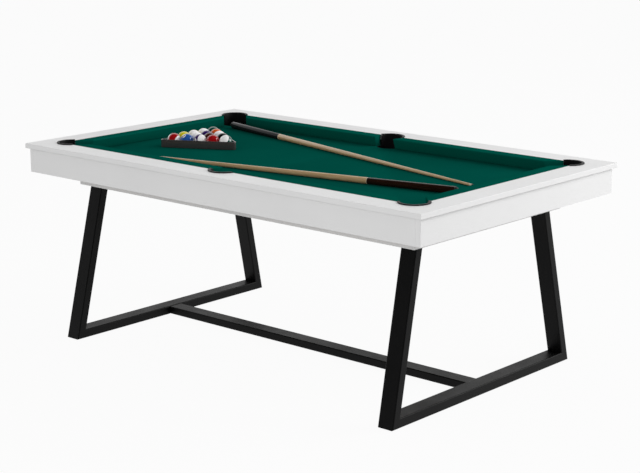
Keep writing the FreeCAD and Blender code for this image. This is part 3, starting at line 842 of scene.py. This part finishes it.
cue = {
    "length": 1.5808, "buttShare": 0.23, "buttRadius": 0.0140, "steps": 40,
    "edgeRound": 0.0006, "edgeSegments": 4, "softSegments": 6,
    "bumperLength": 0.010, "bumperRadius": 0.0102, "bumperRound": 0.003, "bumperInset": 0.0006,
    "jointLength": 0.0026, "proud": 0.00025, "ferruleLength": 0.013, "ferruleRound": 0.0003,
    "tipRadius": 0.0045, "tipLength": 0.009, "tipFootInset": 0.0002, "tipInset": 0.0001,
    "tipDome": 0.0035, "tipCrown": 0.45, "tipRounds": {2: 0.004, 3: 0.008},
}
cues = {
    "frontCue": {
        "body": "front_cue", "end": (0.938, -0.260), "aim": (-0.935, -0.885),
        "butt": "brownLacquer", "buttSlot": "brown_butt",
    },
    "rearCue": {
        "body": "rear_cue", "end": (-0.9595, 0.881), "aim": (0.894, 0.074),
        "butt": "blackLacquer", "buttSlot": "black_butt",
    },
}


def cueRadius(along):
    taper = (cue["tipRadius"] - cue["buttRadius"]) * along / cue["length"]
    return cue["buttRadius"] + taper


def cueProfile(start, end, proud=0.0, edgeRound=cue["edgeRound"]):
    points = [
        (0, start), (cueRadius(start) + proud, start), (cueRadius(end) + proud, end), (0, end),
    ]
    return roundProfile(points, {1: edgeRound, 2: edgeRound}, cue["edgeSegments"])


def bumperProfile():
    end = cue["bumperLength"]
    points = [
        (0, 0), (cue["bumperRadius"], 0), (cueRadius(0) - cue["bumperInset"], end), (0, end),
    ]
    return roundProfile(points, {1: cue["bumperRound"]}, cue["softSegments"])


def tipProfile(start):
    end = cue["length"]
    radius = cue["tipRadius"]
    points = [
        (0, start), (radius - cue["tipFootInset"], start),
        (radius - cue["tipInset"], end - cue["tipDome"]), (radius * cue["tipCrown"], end), (0, end),
    ]
    return roundProfile(points, cue["tipRounds"], cue["softSegments"])


def makeCue(cueName, values):
    end = Vector((values["end"][0] * inner["noseX"], values["end"][1] * inner["noseY"]))
    aim = Vector((values["aim"][0] * inner["noseX"], values["aim"][1] * inner["noseY"]))
    turn = math.atan2(aim.y - end.y, aim.x - end.x)
    droop = math.atan2(cue["buttRadius"] - cue["tipRadius"], cue["length"])
    height = levels["clothTop"] + levels["looseGap"] + cue["buttRadius"] / math.cos(droop)
    placing = Matrix.Translation((end.x, end.y, height))
    placing @= Matrix.Rotation(turn, 4, "Z") @ Matrix.Rotation(math.pi / 2 + droop, 4, "Y")
    joint = cue["length"] * cue["buttShare"]
    ring = joint - cue["jointLength"]
    tip = cue["length"] - cue["tipLength"]
    ferrule = tip - cue["ferruleLength"]
    node = values["body"]
    parts = {
        "Butt": (
            cueProfile(cue["bumperLength"], ring), values["butt"], values["buttSlot"],
            node + "_butt",
        ),
        "Bumper": (bumperProfile(), "bumperRubber", "pocket_plastic", None),
        "Collar": (cueProfile(ring, joint, cue["proud"]), "ferrulePlastic", "cue_maple", None),
        "Shaft": (cueProfile(joint, ferrule), "varnishedMaple", "cue_maple", node + "_shaft"),
        "Ferrule": (
            cueProfile(ferrule, tip, 0.0, cue["ferruleRound"]), "ferrulePlastic", "cue_maple", None,
        ),
        "Tip": (tipProfile(tip), "pressedLeather", "cue_tip", node + "_tip"),
    }
    for partName, (profile, finish, slotName, replaced) in parts.items():
        bm = turnedShape(profile, cue["steps"])
        storeOwnPlace(bm)
        bmesh.ops.transform(bm, matrix=placing, verts=bm.verts)
        piece = givePiece(cueName + partName, bm, finishes[finish], node)
        if replaced:
            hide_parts(replaced)


for cueName, values in cues.items():
    makeCue(cueName, values)
print("cues made")


# Balls: seven plain, the black one, and seven with a band. Each is turned so that the marks lie as
# on the table.

ball = {
    "radius": 0.0270, "segments": 64, "rings": 40,
    "band": 0.0145,         # half the coloured band's width
    "circle": 0.0090,       # radius of a number circle
    "soft": 0.00012,        # how far a mark's edge runs
    "noBand": 1.0,          # a band that is wider than any ball
    "scuffs": (220.0, 5.0, 0.7), "scuffRange": (0.3, 0.8), "sheen": (0.05, 0.13),
    "bump": (0.02, 0.0001),
    "gloss": {"Specular IOR Level": 0.4, "Coat Weight": 0.4, "Coat Roughness": 0.03},
}
ballNumber = {
    "height": 0.0125, "oneDigit": 1.25, "twoDigits": 1.05, "bold": 0.0012, "curveSteps": 4,
    "lift": 0.00004, "longEdge": 0.0012, "divisions": 4,
}
ballColours = {
    "red": (0.32, 0.004, 0.006), "blue": (0.018, 0.085, 0.33), "purple": (0.028, 0.004, 0.10),
    "maroon": (0.050, 0.010, 0.005), "yellow": (0.62, 0.54, 0.008), "orange": (0.60, 0.09, 0.005),
    "black": (0.004, 0.004, 0.004), "green": (0.0, 0.050, 0.035), "white": (0.87, 0.86, 0.86),
}
# The number on the ball, its colour, where a number circle points and, on a banded ball, where the
# middle of a white cap points: both as (right, up, towards the photographer) in the camera's frame
balls = {
    "ball_01": (11, "red", (-0.53, -0.70, 0.60), (0.87, -0.345, 0.36)),
    "ball_02": (2, "blue", (-0.46, 0.64, 0.62), None),
    "ball_03": (12, "purple", (-0.76, 0.02, 0.66), (0.66, 0.12, 0.74)),
    "ball_04": (3, "red", (0.05, -0.70, 0.71), None),
    "ball_05": (14, "green", (0.30, -0.75, 0.60), (-0.48, 0.50, 0.72)),
    "ball_06": (1, "yellow", (0.10, -0.72, 0.69), None),
    "ball_07": (10, "blue", (0.30, -0.75, 0.60), (-0.12, 0.52, 0.85)),
    "ball_08": (7, "maroon", (0.10, -0.72, 0.69), None),
    "ball_09": (8, "black", (0.10, -0.72, 0.69), None),
    "ball_10": (9, "yellow", (0.40, -0.80, 0.40), (0.05, 0.33, 0.94)),
    "ball_11": (4, "purple", (0.10, -0.72, 0.69), None),
    "ball_12": (13, "orange", (0.50, -0.75, 0.40), (-0.08, 0.48, 0.87)),
    "ball_13": (15, "maroon", (0.40, -0.80, 0.40), (-0.05, 0.70, 0.71)),
    "ball_14": (5, "orange", (0.10, -0.72, 0.69), None),
    "ball_15": (6, "green", (0.10, -0.72, 0.69), None),
}

# The marks of a ball whose band lies across its Z and whose number circles lie on its X
ballMarks, given, out = newGroup(
    "ballMarks",
    {"Vector": "v", "Colour": "c", "White": "c", "Band": "f"},
    {"Colour": "c", "Roughness": "f", "Height": "f"},
)
axes = addNode(ballMarks, "ShaderNodeSeparateXYZ", {"Vector": given["Vector"]}).outputs
offBand = sums(ballMarks, "SUBTRACT", sums(ballMarks, "ABSOLUTE", axes["Z"]), given["Band"])
cap = spread(ballMarks, offBand, -ball["soft"], ball["soft"])
squares = [sums(ballMarks, "POWER", axes[name], 2.0) for name in ("Y", "Z")]
fromCircle = sums(ballMarks, "SQRT", sums(ballMarks, "ADD", *squares))
disc = spread(ballMarks, fromCircle, ball["circle"] + ball["soft"], ball["circle"] - ball["soft"])
marks = sums(ballMarks, "MAXIMUM", cap, disc)
scuffs = noise(ballMarks, given["Vector"], *ball["scuffs"])
wire(ballMarks, out["Colour"], mixColours(ballMarks, marks, given["Colour"], given["White"]))
wire(ballMarks, out["Roughness"], spread(ballMarks, scuffs, *ball["scuffRange"], *ball["sheen"]))
wire(ballMarks, out["Height"], scuffs)

ballFinishes = {}
for number, colour, circleWay, poleWay in balls.values():
    banded = poleWay is not None
    key = (colour, banded)
    if key in ballFinishes:
        continue
    name = colour + ("BandedBall" if banded else "PlainBall")
    material, tree, shader = newFinish(name, ball["gloss"])
    dress(tree, shader, ballMarks, {
        "Vector": ownPlace(tree),
        "Colour": tint(*ballColours[colour]), "White": tint(*ballColours["white"]),
        "Band": ball["band"] if banded else ball["noBand"],
    }, ball["bump"])
    ballFinishes[key] = material


def ballTurn(circleWay, poleWay):
    # Turns the ball so that X, its number circle, and Z, its band's pole, point where the marks lie
    photographer = viewCamera.rotation_euler.to_matrix()
    circle = (photographer @ Vector(circleWay)).normalized()
    if poleWay:
        pole = (photographer @ Vector(poleWay)).normalized()
        circle = (circle - pole * circle.dot(pole)).normalized()
    else:
        pole = circle.orthogonal().normalized()
    across = pole.cross(circle)
    return Matrix((circle, across, pole)).transposed().to_4x4()


def flatNumber(number):
    # The number as a flat mesh, centred
    text = bpy.data.curves.new("digits", "FONT")
    text.body = str(number)
    text.align_x = "CENTER"
    text.align_y = "CENTER"
    text.size = ballNumber["height"] * ballNumber["oneDigit" if number < 10 else "twoDigits"]
    text.resolution_u = ballNumber["curveSteps"]
    text.offset = ballNumber["bold"]
    holder = bpy.data.objects.new("digits", text)
    scene.collection.objects.link(holder)
    bpy.context.view_layer.update()
    shaped = holder.evaluated_get(bpy.context.evaluated_depsgraph_get())
    flat = bpy.data.meshes.new_from_object(shaped)
    bpy.data.objects.remove(holder)
    bpy.data.curves.remove(text)
    bm = bmesh.new()
    bm.from_mesh(flat)
    bpy.data.meshes.remove(flat)
    bmesh.ops.remove_doubles(bm, verts=bm.verts, dist=mergeReach)
    bmesh.ops.triangulate(bm, faces=bm.faces)
    return bm


def digitMesh(number):
    # The number bent over both of the ball's circles
    bm = flatNumber(number)
    middle = sum((vert.co for vert in bm.verts), Vector()) / len(bm.verts)
    for step in range(ballNumber["divisions"]):
        long = [edge for edge in bm.edges if edge.calc_length() > ballNumber["longEdge"]]
        if not long:
            break
        bmesh.ops.subdivide_edges(bm, edges=long, cuts=1, use_grid_fill=True)
        bmesh.ops.triangulate(bm, faces=bm.faces)
    radius = ball["radius"] + ballNumber["lift"]
    for vert in bm.verts:
        across = vert.co.x - middle.x
        up = vert.co.y - middle.y
        vert.co = (math.sqrt(radius * radius - across * across - up * up), across, up)
    bmesh.ops.recalc_face_normals(bm, faces=bm.faces)
    if bm.faces[0].normal.x < 0:
        bmesh.ops.reverse_faces(bm, faces=bm.faces)
    first = bm.faces[:] + bm.edges[:] + bm.verts[:]
    twin = vertsIn(bmesh.ops.duplicate(bm, geom=first)["geom"])
    halfTurn = Matrix.Rotation(math.pi, 3, "Z")
    bmesh.ops.rotate(bm, cent=(0, 0, 0), matrix=halfTurn, verts=twin)
    return bm


def makeBall(node, values):
    number, colour, circleWay, poleWay = values
    low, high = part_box(node)
    centre = (low + high) / 2
    centre.z = levels["clothTop"] + levels["looseGap"] + ball["radius"]
    placing = Matrix.Translation(centre) @ ballTurn(circleWay, poleWay)
    bm = bmesh.new()
    bmesh.ops.create_uvsphere(
        bm, u_segments=ball["segments"], v_segments=ball["rings"], radius=ball["radius"],
    )
    storeOwnPlace(bm)
    bmesh.ops.transform(bm, matrix=placing, verts=bm.verts)
    name = "ball" + node[-2:]
    finish = ballFinishes[(colour, poleWay is not None)]
    piece = givePiece(name, bm, finish, node)
    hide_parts(node)
    bm = digitMesh(number)
    bmesh.ops.transform(bm, matrix=placing, verts=bm.verts)
    givePiece(name + "Number", bm, finishes["digitInk"], node)


for node, values in balls.items():
    makeBall(node, values)
print("balls made")


# Studio: a pale floor, even soft light, one broad soft lamp off the table's right rear corner, a
# weaker one before its front, and a dark room on the photographer's side, seen only in reflections

studio = {
    "floorSize": 120.0, "floorDrop": 0.0015, "floorColour": 0.50, "floorGlow": 0.95, "sky": 0.52,
    "roomWay": (-48.7, 42.0), "roomReach": 80.0, "roomAway": 20.0, "roomColour": 0.01,
    "roomSteps": 24, "roomSides": 48,
}
# Ways are in degrees, round from +X towards +Y, and up. The fill lamp gives no reflection.
lamps = {
    "softLamp": {"way": (45.0, 22.0), "away": 9.0, "size": 5.4, "power": 650.0, "mirrored": True},
    "fillLamp": {"way": (-80.0, 10.0), "away": 7.0, "size": 4.0, "power": 152.0, "mirrored": False},
}


def grey(level):
    return tint(level, level, level)


def clearedTree(owner):
    # The empty node tree of a material or a world
    owner.use_nodes = True
    owner.node_tree.nodes.clear()
    return owner.node_tree


def seenDirectly(tree):
    # 1 where the camera, a mirror or glass looks, 0 for light that only falls on things
    path = addNode(tree, "ShaderNodeLightPath", {}).outputs
    glossy = sums(tree, "MAXIMUM", path["Is Camera Ray"], path["Is Glossy Ray"])
    return sums(tree, "MAXIMUM", glossy, path["Is Transmission Ray"])


def wayOf(degrees):
    around, upward = (math.radians(angle) for angle in degrees)
    level = math.cos(upward)
    return Vector((math.cos(around) * level, math.sin(around) * level, math.sin(upward)))


bm = bmesh.new()
bmesh.ops.create_grid(bm, x_segments=1, y_segments=1, size=studio["floorSize"] / 2)
bmesh.ops.translate(bm, vec=(0, 0, -studio["floorDrop"]), verts=bm.verts)
studioFloor = placeMesh("studioFloor", bm)
floorFinish = bpy.data.materials.new("studioFloor")
tree = clearedTree(floorFinish)
matt = addNode(tree, "ShaderNodeBsdfDiffuse", {"Color": grey(studio["floorColour"])})
glow = addNode(tree, "ShaderNodeEmission", {"Color": grey(1.0), "Strength": 1.0})
share = sums(tree, "MULTIPLY", seenDirectly(tree), studio["floorGlow"])
mixed = addNode(tree, "ShaderNodeMixShader", {0: share, 1: matt.outputs[0], 2: glow.outputs[0]})
addNode(tree, "ShaderNodeOutputMaterial", {"Surface": mixed.outputs[0]})
studioFloor.data.materials.append(floorFinish)

world = bpy.data.worlds.new("studioSky")
scene.world = world
tree = clearedTree(world)
even = addNode(tree, "ShaderNodeBackground", {"Color": grey(1.0), "Strength": studio["sky"]})
white = addNode(tree, "ShaderNodeBackground", {"Color": grey(1.0), "Strength": 1.0})
mixed = addNode(tree, "ShaderNodeMixShader", {
    0: seenDirectly(tree), 1: even.outputs[0], 2: white.outputs[0],
})
addNode(tree, "ShaderNodeOutputWorld", {"Surface": mixed.outputs[0]})

for name, values in lamps.items():
    lampData = bpy.data.lights.new(name, "AREA")
    lampData.shape = "SQUARE"
    lampData.size = values["size"]
    lampData.energy = values["power"]
    lamp = bpy.data.objects.new(name, lampData)
    lampWay = wayOf(values["way"])
    lamp.location = Vector((0, 0, levels["railTop"])) + lampWay * values["away"]
    lamp.rotation_euler = lampWay.to_track_quat("Z", "Y").to_euler()
    lamp.visible_glossy = values["mirrored"]
    scene.collection.objects.link(lamp)

# The room is part of a sphere about the table, turned so that its pole lies the way of the room
steps = studio["roomSteps"]
angles = [math.radians(studio["roomReach"] * k / steps) for k in range(steps + 1)]
away = studio["roomAway"]
bm = turnedShape([(away * math.sin(a), away * math.cos(a)) for a in angles], studio["roomSides"])
towardsRoom = wayOf(studio["roomWay"]).to_track_quat("Z", "Y").to_matrix().to_4x4()
bmesh.ops.transform(bm, matrix=towardsRoom, verts=bm.verts)
darkRoom = placeMesh("darkRoom", bm)
darkRoom.visible_camera = False
darkRoom.visible_diffuse = False
darkRoom.visible_transmission = False
darkRoom.visible_shadow = False
roomFinish = bpy.data.materials.new("darkRoom")
tree = clearedTree(roomFinish)
dark = addNode(tree, "ShaderNodeEmission", {"Color": grey(studio["roomColour"]), "Strength": 1.0})
addNode(tree, "ShaderNodeOutputMaterial", {"Surface": dark.outputs[0]})
darkRoom.data.materials.append(roomFinish)

scene.view_settings.view_transform = "Standard"
print("studio made")

bpy.context.view_layer.update()
